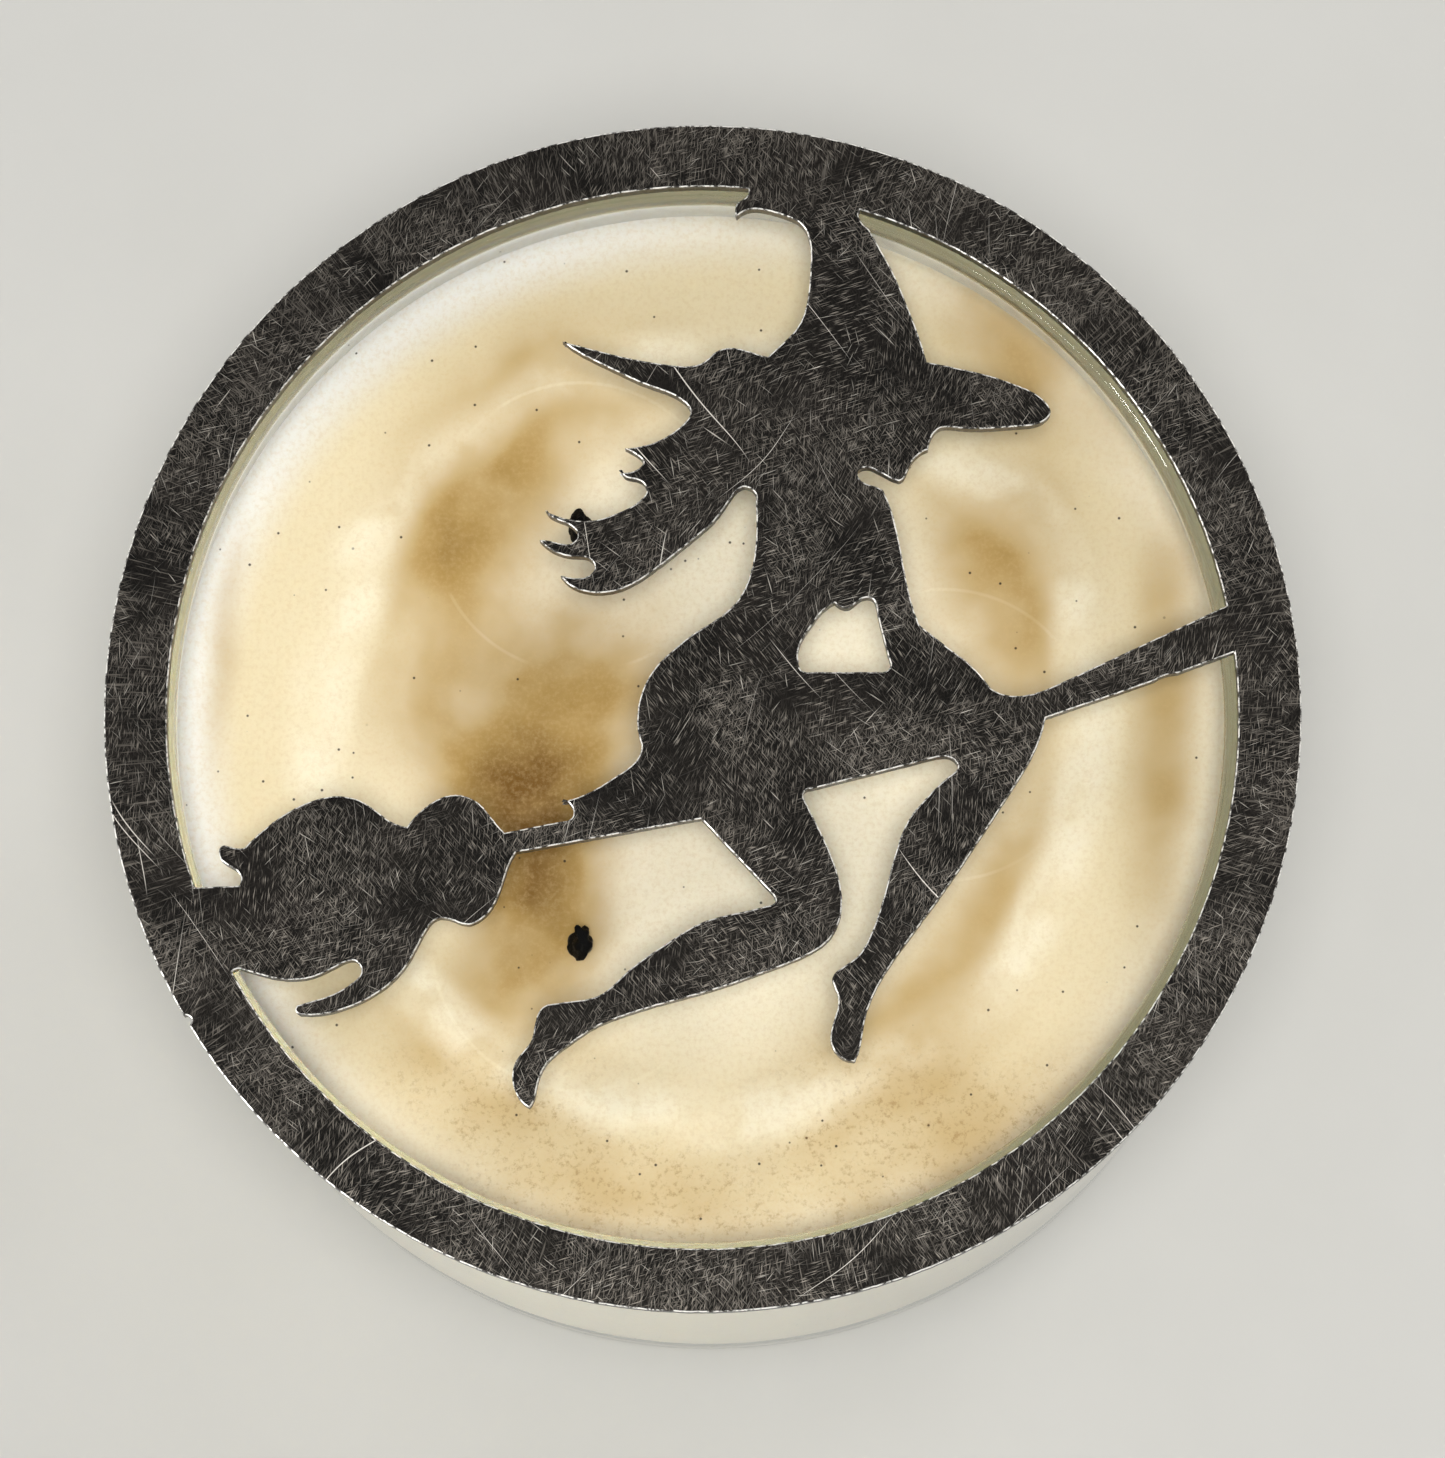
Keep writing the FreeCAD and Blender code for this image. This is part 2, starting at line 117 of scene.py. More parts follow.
# The camera looks at a point beside the plate's centre, in degrees, metres and lens millimetres.
CAMERA_AZIMUTH = 3.9
CAMERA_ELEVATION = 82.3
CAMERA_DISTANCE = 0.6904
CAMERA_LENS = 196.6
AIM_SHIFT = Vector((1.75, -1.42, 0)) * MM


def middle_from_above(node):
    """Middle of a node's box, seen from above."""
    low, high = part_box(node)
    return Vector(((low.x + high.x) / 2, (low.y + high.y) / 2, 0))


wick_places = {number: middle_from_above(f"wick_{number}") for number in WICKS}


# ---------------------------------------------------------------- materials


def srgb(red, green, blue):
    """A display colour, 0 to 255, as the linear colour that a shader takes."""

    def linear(value):
        value /= 255
        return value / 12.92 if value <= 0.04045 else ((value + 0.055) / 1.055) ** 2.4

    return (linear(red), linear(green), linear(blue), 1.0)


class Material:
    """A material's node tree, written with few words.

    place is the point being shaded, in millimetres in the CAD's own frame.
    """

    def __init__(self, name):
        self.data = bpy.data.materials.new(name)
        self.data.use_nodes = True
        self.tree = self.data.node_tree
        self.tree.nodes.clear()
        self.output = self.add("ShaderNodeOutputMaterial")
        coordinates = self.add("ShaderNodeTexCoord").outputs["Object"]
        self.place = self.framed(coordinates, (MM, MM, MM))

    def add(self, kind, inputs=None, **settings):
        """Makes a node, with its settings and the values or links of its inputs."""
        node = self.tree.nodes.new(kind)
        for name, value in settings.items():
            setattr(node, name, value)
        for name, value in (inputs or {}).items():
            self.feed(node.inputs[name], value)
        return node

    def feed(self, socket, value):
        """Links a node's output to the socket, or sets the socket to a plain value."""
        if isinstance(value, bpy.types.NodeSocket):
            self.tree.links.new(value, socket)
        else:
            socket.default_value = value

    def math(self, operation, first, second=0.0, third=0.0):
        node = self.add("ShaderNodeMath", {0: first, 1: second, 2: third}, operation=operation)
        return node.outputs[0]

    def vector_math(self, operation, *inputs):
        """A vector calculation's node."""
        return self.add("ShaderNodeVectorMath", dict(enumerate(inputs)), operation=operation)

    def flattened(self, vector):
        """The vector with its height taken out."""
        return self.vector_math("MULTIPLY", vector, (1.0, 1.0, 0.0)).outputs["Vector"]

    def length(self, vector):
        return self.vector_math("LENGTH", vector).outputs["Value"]

    def parts(self, vector):
        """The vector's "X", "Y" and "Z"."""
        return self.add("ShaderNodeSeparateXYZ", {"Vector": vector}).outputs

    def framed(self, vector, size, turn=0.0, middle=(0, 0, 0)):
        """The vector from middle, along axes turned about Z by turn degrees, in units of size."""
        inputs = {
            "Vector": vector,
            "Location": middle,
            "Rotation": (0, 0, math.radians(turn)),
            "Scale": size,
        }
        return self.add("ShaderNodeMapping", inputs, vector_type="TEXTURE").outputs[0]

    def noise(self, vector, scale=1.0, detail=2.0, rough=0.5, warp=0.0):
        inputs = {"Vector": vector, "Scale": scale, "Detail": detail, "Roughness": rough}
        inputs["Distortion"] = warp
        return self.add("ShaderNodeTexNoise", inputs).outputs["Fac"]

    def fit(self, value, low, high, start=0.0, end=1.0):
        """The value's span from low to high, spread smoothly over start to end."""
        inputs = {"Value": value, "From Min": low, "From Max": high, "To Min": start, "To Max": end}
        return self.add("ShaderNodeMapRange", inputs, interpolation_type="SMOOTHSTEP").outputs[0]

    def blend(self, share, first, second):
        """The first colour, moved towards the second by a share of 0 to 1."""
        node = self.add("ShaderNodeMix", data_type="RGBA")
        factor, colour_a, colour_b = (node.inputs[index] for index in (0, 6, 7))
        self.feed(factor, share)
        self.feed(colour_a, first)
        self.feed(colour_b, second)
        return node.outputs[2]

    def bump(self, height, depth, strength=1.0, under=None):
        """A normal that shows the height as relief of that depth, over another normal if given."""
        inputs = {"Height": height, "Distance": depth, "Strength": strength}
        if under is not None:
            inputs["Normal"] = under
        return self.add("ShaderNodeBump", inputs).outputs[0]

    def finish(self, inputs):
        """Ends the tree in a Principled shader and returns the material."""
        shader = self.add("ShaderNodeBsdfPrincipled", inputs)
        self.tree.links.new(shader.outputs[0], self.output.inputs["Surface"])
        return self.data


def clear_glass():
    """Pressed soda glass: clear across the wall, olive green along it, with faint waves."""
    made = Material("clear_glass")
    waves = made.noise(made.framed(made.place, (20, 20, 50)), detail=1.0)
    pressed = made.noise(made.framed(made.place, (1.6, 1.6, 5.0)), detail=1.0)
    smears = made.noise(made.framed(made.place, (8, 8, 20)), detail=4.0, warp=0.6)
    height = made.parts(made.place)["Z"]
    lip = made.fit(height, (jar_height - RIM_BEAD_DEPTH) / MM, (jar_height - RIM_ROUND) / MM)
    rough = made.math(
        "MAXIMUM", made.fit(smears, 0.45, 0.75, 0.0, 0.05), made.math("MULTIPLY", lip, 0.05)
    )
    absorption = made.add(
        "ShaderNodeVolumeAbsorption", {"Color": (0.72, 0.88, 0.46, 1.0), "Density": 10.5}
    )
    made.tree.links.new(absorption.outputs[0], made.output.inputs["Volume"])
    return made.finish({
        "Base Color": (0.98, 0.985, 0.97, 1.0),
        "Transmission Weight": 1.0,
        "IOR": 1.5,
        "Roughness": rough,
        "Normal": made.bump(pressed, 0.05 * MM, 0.5, made.bump(waves, 0.6 * MM, 0.5)),
    })


# Where soot and scorched wax have settled: middle, half-length and half-width in
# millimetres, turn in degrees, and strength.
STAINS = [
    ((-7.5, 31.0), 7.0, 6.5, 0.0, 0.3),
    ((-18.8, 25.5), 9.0, 5.8, 65.0, 0.44),
    ((-25.5, 14.0), 8.0, 5.0, 78.0, 0.36),
    ((-17.0, 16.0), 7.0, 5.5, 80.0, 0.1),
    ((-8.5, 8.5), 7.5, 6.0, -30.0, 0.26),
    ((-16.0, -0.5), 9.3, 7.2, 0.0, 0.54),
    ((-15.0, -12.0), 8.0, 4.8, 88.0, 0.7),
    ((-10.0, -18.5), 5.0, 4.0, 60.0, 0.12),
    ((-1.0, -11.0), 6.0, 3.0, 10.0, 0.1),
    ((27.0, 12.0), 8.5, 5.2, -80.0, 0.48),
    ((25.0, 23.0), 6.0, 5.0, -50.0, 0.18),
    ((28.0, 34.0), 8.0, 3.6, -48.0, 0.4),
    ((40.5, -2.0), 13.0, 2.4, 88.0, 0.4),
    ((39.0, 17.0), 8.0, 3.0, 105.0, 0.14),
    ((25.5, -15.5), 12.0, 4.8, 66.0, 0.38),
    ((16.5, -29.0), 7.0, 5.5, 20.0, 0.32),
    ((29.0, -32.5), 8.0, 2.8, 42.0, 0.24),
    ((18.0, -40.5), 7.0, 2.5, 22.0, 0.16),
    ((2.0, -37.0), 16.0, 6.0, 0.0, 0.2),
    ((-21.0, -27.0), 10.0, 6.0, -30.0, 0.36),
    ((-7.0, -42.0), 11.0, 2.6, -5.0, 0.2),
    ((-42.0, 8.0), 9.0, 1.2, 82.0, 0.26),
]


def shore_highlights(made):
    """Painted highlight: thin broken pale lines on the low ridges where the melt pool round each
    wick last set.
    """
    found = 0.0
    for middle in wick_places.values():
        centre = tuple(middle / MM + Vector((0, 0, WAX_LEVEL / MM)))
        away = made.vector_math("DISTANCE", made.place, centre).outputs["Value"]
        off = made.math("ABSOLUTE", made.math("SUBTRACT", away, POOL_RADIUS / MM))
        found = made.math("MAXIMUM", found, made.fit(off, 0.05, 0.22, 1.0, 0.0))
    broken = made.fit(made.noise(made.place, 0.11, detail=1.0), 0.46, 0.56)
    return made.math("MULTIPLY", found, broken)


def settled_soot(made, place, clouds, upper):
    """How much soot and scorched wax has settled on the wax: the sum of the stains, in clouds."""
    soot = 0.0
    for (x, y), length, width, turn, strength in STAINS:
        spot = made.framed(place, (2.2 * length, 2.2 * width, 1.0), turn, (x, y, 0))
        ball = made.add("ShaderNodeTexGradient", {"Vector": spot}, gradient_type="SPHERICAL")
        soft = made.fit(ball.outputs["Fac"], 0.0, 1.0, 0.0, strength)
        soot = made.math("ADD", soot, soft)
    soot = made.math("MULTIPLY", soot, made.fit(clouds, 0.2, 0.75, 0.8, 1.2))
    return made.math("MULTIPLY", soot, upper)


def painted_rim_light(made, apart):
    """Painted light at the fill's rim: a pale band that lifts the shade under the ring, most towards
    -X and +Y.
    """
    radius = made.length(made.flattened(made.place))
    leftward = made.math("SUBTRACT", made.math("MULTIPLY", apart["Y"], 0.5), apart["X"])
    lifted_side = made.fit(leftward, 4.0, 40.0)
    share = made.math("MULTIPLY_ADD", lifted_side, 0.7, 0.3)
    return made.math("MULTIPLY", made.fit(radius, 40.5, 46.0), share)


def specked(made, colour):
    """The colour with a fine tan mottle and a few soot specks."""
    grains = made.add("ShaderNodeTexVoronoi", {"Vector": made.place, "Scale": 0.75})
    luck = made.add("ShaderNodeSeparateColor", {"Color": grains.outputs["Color"]})
    small = made.fit(grains.outputs["Distance"], 0.06, 0.12, 1.0, 0.0)
    rare = made.fit(luck.outputs[0], 0.77, 0.79)
    speck = made.math("MULTIPLY", made.math("MULTIPLY", small, rare), 0.9)
    mottle = made.fit(made.noise(made.place, 2.2, detail=4.0, rough=0.7), 0.4, 0.75, 0.0, 0.3)
    mottled = made.blend(mottle, colour, srgb(206, 178, 128))
    return made.blend(speck, mottled, srgb(48, 34, 22))


def dusted(made, colour, apart, soot):
    """The colour with a fine dust of soot on the stains near the -Y side."""
    dust = made.noise(made.place, 1.7, detail=5.0, rough=0.75)
    low_side = made.fit(made.math("MULTIPLY", apart["Y"], -1.0), 24.0, 34.0)
    where = made.math("MULTIPLY", low_side, made.fit(soot, 0.02, 0.3))
    sooty = made.math("MULTIPLY", made.fit(dust, 0.5, 0.68), made.math("MULTIPLY", where, 0.5))
    return made.blend(sooty, colour, srgb(150, 112, 58))


def cream_wax():
    """Cream container wax after a burn: scorched patches and soot specks, with painted light: a
    painted highlight on the set ring and the pool shores, and a paler rim and sides that lift their
    shade.
    """
    made = Material("cream_wax")
    wander = made.add(
        "ShaderNodeTexNoise", {"Vector": made.place, "Scale": 0.06, "Detail": 1.0}
    ).outputs["Color"]
    drift = made.vector_math("MULTIPLY_ADD", wander, (5.0, 5.0, 0.0), (-2.5, -2.5, 0.0)).outputs[0]
    place = made.vector_math("ADD", made.place, drift).outputs[0]
    flat = made.flattened(place)
    radius = made.length(flat)
    apart = made.parts(made.place)
    clouds = made.noise(place, 0.16, detail=2.5)
    upper = made.fit(apart["Z"], WAX_LEVEL / MM - 4.0, WAX_LEVEL / MM - 1.0)
    soot = settled_soot(made, flat, clouds, upper)

    # Painted highlight: the set ring is a real low ridge in the relief, and here it is painted paler
    # for the light it catches.
    ring = made.math("ABSOLUTE", made.math("SUBTRACT", radius, SET_RING_RADIUS / MM))
    ring = made.fit(ring, 0.5, 4.0, 1.0, 0.0)
    ring = made.math("MULTIPLY", ring, made.fit(clouds, 0.35, 0.6, 0.3, 1.0))
    soot = made.math("SUBTRACT", soot, made.math("MULTIPLY", ring, 0.25))
    # Painted highlight: the stains are lightened along the pool shores.
    soot = made.math("SUBTRACT", soot, made.math("MULTIPLY", shore_highlights(made), 0.05))

    fresh = made.blend(made.fit(radius, 16.0, 36.0), srgb(246, 236, 210), srgb(230, 215, 178))
    # Painted light: the fill's rim is painted paler where the ring's shade falls.
    warm = made.blend(painted_rim_light(made, apart), fresh, srgb(238, 236, 228))
    warm = made.blend(made.math("MULTIPLY", ring, 0.6), warm, srgb(247, 239, 215))
    # Painted light: below the top the fill is painted paler, to lift the shade that the glass casts
    # on its sides.
    warm = made.blend(upper, srgb(250, 238, 210), warm)
    tan = made.blend(made.fit(soot, 0.0, 0.6), warm, srgb(182, 150, 88))
    brown = made.blend(made.fit(soot, 0.42, 1.0), tan, srgb(110, 76, 22))

    ripple = made.noise(place, 0.16, detail=2.0)
    grain = made.noise(made.place, 1.4, detail=3.0)
    return made.finish({
        "Base Color": dusted(made, specked(made, brown), apart, soot),
        "Roughness": made.fit(clouds, 0.3, 0.7, 0.46, 0.62),
        "Specular IOR Level": 0.12,
        "Subsurface Weight": 0.22,
        "Subsurface Radius": (1.0, 0.72, 0.42),
        "Subsurface Scale": 2.2 * MM,
        "IOR": 1.44,
        "Normal": made.bump(grain, 0.02 * MM, 0.6, made.bump(ripple, 0.5 * MM, 0.5)),
    })


def abrasion(made, vector, turn, length, width, low, high, patch_shift):
    """One direction of abrasive marks, mostly kept to some patches of the sheet."""
    lines = made.noise(made.framed(vector, (length, width, length), turn), detail=1.0)
    patches = made.noise(made.framed(made.place, (9, 9, 9), 0, patch_shift), detail=1.0)
    kept = made.fit(patches, 0.44, 0.56, 0.08, 1.0)
    return made.math("MULTIPLY", made.fit(lines, low, high), kept)


def spoke_marks(made):
    """Abrasive marks that run outwards like spokes, on the ring only."""
    flat = made.flattened(made.place)
    reach = made.length(flat)
    apart = made.parts(flat)
    spokes = made.add(
        "ShaderNodeCombineXYZ",
        {
            "X": made.math("MULTIPLY", made.math("DIVIDE", apart["X"], reach), 330.0),
            "Y": made.math("MULTIPLY", made.math("DIVIDE", apart["Y"], reach), 330.0),
            "Z": made.math("MULTIPLY", reach, 0.4),
        },
    ).outputs[0]
    lines = made.fit(made.noise(spokes, 1.0, detail=1.0), 0.55, 0.76)
    return made.math("MULTIPLY", lines, made.fit(reach, 44.5, 47.0))


def scratched_steel():
    """Dark mild steel rubbed by hand with abrasive: a fine grain, thin marks, a few long ones. The
    marks are real bare metal, and their light colour is partly painted sheen for the light they
    catch.
    """
    made = Material("scratched_steel")
    bend = made.add("ShaderNodeTexNoise", {"Vector": made.place, "Scale": 0.04, "Detail": 1.0})
    bent = made.vector_math(
        "MULTIPLY_ADD", bend.outputs["Color"], (9.0, 9.0, 0.0), made.place
    ).outputs[0]

    grain = made.math("MULTIPLY", spoke_marks(made), 0.55)
    for index, turn in enumerate((18.0, 84.0, 62.0, 128.0)):
        shift = (17.0 * index, 9.0 * index, 0)
        layer = abrasion(made, made.place, turn, 1.2, 0.1, 0.54, 0.76, shift)
        grain = made.math("MAXIMUM", grain, layer)
    marks = 0.0
    for index, turn in enumerate((18.0, 55.0, 100.0, 140.0)):
        shift = (13.0 * index, 31.0 * index, 0)
        layer = abrasion(made, bent, turn, 3.2, 0.11, 0.7, 0.77, shift)
        marks = made.math("MAXIMUM", marks, layer)
    long_marks = 0.0
    for turn, shift in ((77.0, 3.0), (128.0, 11.0), (95.0, 29.0), (48.0, 41.0)):
        vector = made.framed(bent, (24.0, 0.16, 24.0), turn, (shift, 2 * shift, 0))
        line = made.fit(made.noise(vector, 1.0, detail=0.0), 0.84, 0.87)
        long_marks = made.math("MAXIMUM", long_marks, line)

    tone = made.noise(made.place, 0.16, detail=3.0)
    dark = made.blend(made.fit(tone, 0.3, 0.7), srgb(10, 9, 8), srgb(20, 18, 16))
    # Painted sheen: the grain, marks and long marks are painted lighter, partly as bare metal and
    # partly as the light they catch.
    grain_and_sheen = made.blend(made.math("MULTIPLY", grain, 0.85), dark, srgb(98, 93, 86))
    marks_and_sheen = made.blend(made.math("MULTIPLY", marks, 0.65), grain_and_sheen, srgb(172, 167, 158))
    colour = made.blend(made.math("MULTIPLY", long_marks, 0.7), marks_and_sheen, srgb(200, 195, 186))
    depth = made.math("ADD", made.math("ADD", grain, marks), made.math("MULTIPLY", long_marks, 2.0))
    return made.finish({
        "Base Color": colour,
        "Metallic": 0.95,
        "Roughness": made.fit(grain, 0.0, 1.0, 0.52, 0.38),
        "Normal": made.bump(made.math("MULTIPLY", depth, -1.0), 0.01 * MM, 0.6),
    })


def burr_with_painted_glints():
    """The broken edge between face and cut: dark, with painted glints in bright dashes where it
    catches the light.
    """
    made = Material("burr_with_painted_glints")
    glint_dashes = made.noise(made.place, 1.5, detail=3.0, rough=0.65)
    return made.finish({
        # Painted glint: near-white dashes along the broken edge, where it would catch the light.
        "Base Color": made.blend(made.fit(glint_dashes, 0.4, 0.58), srgb(48, 45, 41), srgb(250, 247, 240)),
        "Metallic": 0.4,
        "Roughness": made.fit(glint_dashes, 0.4, 0.6, 0.5, 0.3),
        "Normal": made.bump(glint_dashes, 0.03 * MM, 0.6),
    })


def cut_steel():
    """The cut side: brownish heat-darkened metal with fine upright striations."""
    made = Material("cut_steel")
    stripes = made.noise(made.framed(made.place, (0.18, 0.18, 2.5)), detail=3.0, rough=0.6)
    patches = made.noise(made.place, 0.35, detail=2.0)
    bright = made.math(
        "MULTIPLY", made.fit(stripes, 0.3, 0.75), made.fit(patches, 0.3, 0.65, 0.4, 1.0)
    )
    return made.finish({
        "Base Color": made.blend(bright, srgb(38, 35, 31), srgb(112, 106, 96)),
        "Metallic": 0.95,
        "Roughness": made.fit(stripes, 0.3, 0.7, 0.3, 0.5),
        "Normal": made.bump(stripes, 0.03 * MM, 0.6),
    })


def wick_cotton():
    """Waxed cotton braid that turns to brittle char above the wax."""
    made = Material("wick_cotton")
    fibres = made.noise(made.framed(made.place, (0.2, 0.2, 0.8)), detail=4.0, rough=0.7)
    ragged = made.math("ADD", made.parts(made.place)["Z"], made.math("MULTIPLY", fibres, 0.5))
    level = WAX_LEVEL / MM
    burnt = made.fit(ragged, level - 0.4, level + 0.5)
    cotton = made.blend(fibres, srgb(196, 178, 140), srgb(240, 230, 206))
    char = made.blend(made.fit(fibres, 0.4, 0.8), srgb(3, 3, 3), srgb(18, 16, 15))
    return made.finish({
        "Base Color": made.blend(burnt, cotton, char),
        "Roughness": made.fit(fibres, 0.3, 0.7, 0.55, 0.85),
        "Specular IOR Level": 0.1,
        "Normal": made.bump(fibres, 0.12 * MM, 0.8),
    })


def tinned_steel():
    """Thin tin-plated sheet with drawing marks."""
    made = Material("tinned_steel")
    marks = made.noise(made.framed(made.place, (0.8, 0.11, 0.8), 20.0), detail=3.0)
    cloud = made.noise(made.place, 0.5, detail=3.0)
    return made.finish({
        "Base Color": made.blend(cloud, srgb(168, 170, 170), srgb(214, 214, 210)),
        "Metallic": 0.95,
        "Roughness": made.fit(marks, 0.3, 0.7, 0.2, 0.42),
        "Normal": made.bump(marks, 0.02 * MM, 0.5),
    })


def adhesive():
    """Milky double-sided glue dot with trapped bubbles."""
    made = Material("adhesive")
    bubbles = made.add("ShaderNodeTexVoronoi", {"Vector": made.place, "Scale": 1.1})
    cloud = made.noise(made.place, 0.6, detail=3.0)
    return made.finish({
        "Base Color": made.blend(cloud, srgb(222, 218, 204), srgb(244, 242, 234)),
        "Roughness": made.fit(cloud, 0.3, 0.7, 0.32, 0.55),
        "Subsurface Weight": 0.2,
        "Subsurface Radius": (1.0, 0.9, 0.8),
        "Subsurface Scale": 1.0 * MM,
        "Normal": made.bump(bubbles.outputs["Distance"], 0.08 * MM, 0.5),
    })


def pale_floor():
    """Plain pale surface with a barely visible mottle."""
    made = Material("pale_floor")
    cloud = made.noise(made.place, 0.035, detail=4.0)
    return made.finish({
        "Base Color": made.blend(cloud, srgb(200, 199, 194), srgb(208, 207, 203)),
        "Roughness": 0.6,
    })


# ---------------------------------------------------------------- shapes


def rounded(corners, radii):
    """The polyline through the corners, with each corner that has a radius turned into an arc."""
    points = []
    for index, corner in enumerate(corners):
        radius = radii.get(index, 0.0)
        here = Vector(corner)
        if not radius:
            points.append(here)
            continue
        back = (Vector(corners[index - 1]) - here).normalized()
        ahead = (Vector(corners[index + 1]) - here).normalized()
        half = math.acos(max(-1.0, min(1.0, back.dot(ahead)))) / 2
        middle = here + (back + ahead).normalized() * radius / math.sin(half)
        start = here + back * radius / math.tan(half) - middle
        end = here + ahead * radius / math.tan(half) - middle
        sweep = start.angle_signed(end)
        steps = max(3, math.ceil(abs(sweep) / math.radians(9)))
        for step in range(steps + 1):
            turned = start.copy()
            turned.rotate(Matrix.Rotation(-sweep * step / steps, 2))
            points.append(middle + turned)
    return points


def densified(points, longest):
    """The same polyline with points added wherever two neighbours are further apart than longest."""
    result = [points[0]]
    for before, after in zip(points, points[1:]):
        parts = max(1, math.ceil((after - before).length / longest))
        result += [before.lerp(after, part / parts) for part in range(1, parts + 1)]
    return result


def lathe(name, profile, segments, warp=None):
    """A closed solid turned about Z from a profile of (radius, height) that runs from axis to axis.

    warp(x, y, z) may give each point a new place.
    """
    mesh = bmesh.new()
    rings = []
    for radius, height in profile:
        count = segments if radius > 1e-6 else 1
        ring = []
        for index in range(count):
            angle = 2 * math.pi * index / segments
            place = (radius * math.cos(angle), radius * math.sin(angle), height)
            ring.append(mesh.verts.new(warp(*place) if warp else place))
        rings.append(ring)
    for inner, outer in zip(rings, rings[1:]):
        for index in range(segments):
            following = (index + 1) % segments
            if len(inner) == 1:
                mesh.faces.new((inner[0], outer[following], outer[index]))
            elif len(outer) == 1:
                mesh.faces.new((inner[index], inner[following], outer[0]))
            else:
                mesh.faces.new((inner[index], inner[following], outer[following], outer[index]))
    bmesh.ops.recalc_face_normals(mesh, faces=mesh.faces)
    return add_object(name, mesh)


def add_object(name, mesh, smooth=True):
    """Turns a bmesh into an object of the scene, smooth shaded unless told otherwise."""
    data = bpy.data.meshes.new(name)
    if smooth:
        for face in mesh.faces:
            face.smooth = True
    mesh.to_mesh(data)
    mesh.free()
    made = bpy.data.objects.new(name, data)
    bpy.context.scene.collection.objects.link(made)
    return made


def dress(piece, body, node, slot, *materials):
    """Gives a piece its materials and lets it stand for a CAD node on a body."""
    for material in materials:
        piece.data.materials.append(material)
    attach(piece, body)
    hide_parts(node)


def make_jar():
    """Thick glass tumbler with a rounded heel, a punt and a fire-polished rim bead."""
    lip = cavity_radius - RIM_BEAD
    bead_end = jar_height - RIM_BEAD_DEPTH
    punt = jar_radius - HEEL_ROUND - FOOT_WIDTH
    corners = [
        (0, PUNT_DEPTH),
        (punt, PUNT_DEPTH),
        (punt + PUNT_DEPTH, jar_low.z),
        (jar_radius, jar_low.z),
        (jar_radius, jar_height),
        (lip, jar_height),
        (lip, bead_end),
        (cavity_radius, bead_end - RIM_BEAD),
        (cavity_radius, cavity_floor),
        (0, cavity_floor),
    ]
    radii = {
        1: 0.8 * MM,
        2: 0.5 * MM,
        3: HEEL_ROUND,
        4: RIM_ROUND,
        5: RIM_ROUND,
        6: BEAD_BLEND,
        7: BEAD_BLEND,
        8: CAVITY_ROUND,
    }
    profile = densified(rounded(corners, radii), 4.0 * MM)
    jar = lathe("jar_glass", profile, 224)
    dress(jar, "jar", "glass_jar", "clear_glass", clear_glass())


def wax_relief(x, y):
    """Height of the burnt wax surface over its level: edge creep, pools, collars, a set ring."""
    reach = math.hypot(x, y)
    height = MENISCUS_RISE * math.exp(-(wax_high.x - reach) / MENISCUS_WIDTH)
    ring = (reach - SET_RING_RADIUS) / SET_RING_WIDTH
    height += SET_RING_HEIGHT * math.exp(-ring * ring)
    for middle in wick_places.values():
        gap = math.hypot(x - middle.x, y - middle.y)
        height -= POOL_DEPTH * math.exp(-((gap / POOL_SPREAD) ** 2))
        height += COLLAR_HEIGHT * math.exp(-max(0.0, gap - wick_radius) / COLLAR_WIDTH)
        shore = (gap - POOL_RADIUS) / SHORE_WIDTH
        height += SHORE_HEIGHT * math.exp(-shore * shore)
    height += 0.12 * MM * noise.noise(Vector((x, y, 0)) / (7.0 * MM))
    height += 0.04 * MM * noise.noise(Vector((x, y, 0.01)) / (2.0 * MM))
    return min(height, MENISCUS_RISE)


def make_wax():
    """Cast wax fill, wet against the glass, with its burnt top."""
    wall = cavity_radius + 0.03 * MM
    floor = wax_low.z
    corners = [(0, floor), (wall, floor), (wall, WAX_LEVEL)]
    side = densified(rounded(corners, {1: CAVITY_ROUND}), 4.0 * MM)
    edge_steps = 9
    edge = [
        Vector((wall - 3.0 * MM * (step / edge_steps) ** 1.6, WAX_LEVEL))
        for step in range(1, edge_steps + 1)
    ]
    field = densified([edge[-1], Vector((0, WAX_LEVEL))], 0.62 * MM)[1:]
    profile = side + edge + field
    top = WAX_LEVEL - 0.01 * MM

    def warp(x, y, z):
        if z < top:
            return (x, y, z)
        return (x, y, z + wax_relief(x, y))

    wax = lathe("wax_pool", profile, 240, warp)
    dress(wax, "jar", "wax_fill", "cream_wax", cream_wax())


def make_wicks(cotton):
    """Braided wicks whose charred tips lean over and crumble."""
    foot = wick_low.z
    length = wick_high.z - foot
    burnt = (WAX_LEVEL - foot) / length
    corners = [(0, foot), (wick_radius, foot), (wick_radius, foot + length), (0, foot + length)]
    profile = densified(rounded(corners, {2: 0.7 * MM}), 0.44 * MM)
    for number, middle in wick_places.items():
        lean = Vector((math.cos(2.1 * number), math.sin(2.1 * number), 0)) * 0.35 * MM

        def warp(x, y, z, middle=middle, lean=lean, number=number):
            share = (z - foot) / length
            angle = math.atan2(y, x)
            weave = max(math.cos(3 * angle + z * 2100), math.cos(3 * angle - z * 2100))
            swell = 0.86 + 0.12 * weave
            place = Vector((x * swell, y * swell, z))
            char = max(0.0, (share - burnt) / (1 - burnt))
            if char > 0:
                crumb = noise.noise(Vector((x, y, z + 0.01 * number)) / (1.1 * MM))
                shrunk = min(1.0, 8.0 * char)
                place.xy *= 1.0 - 0.06 * shrunk + 0.9 * shrunk * crumb
                place.x *= 1.0 - 0.32 * shrunk
                place += lean * char
            return place + middle

        wick = lathe(f"braided_wick_{number}", profile, 36, warp)
        dress(wick, "jar", f"wick_{number}", "wick_cotton", cotton)


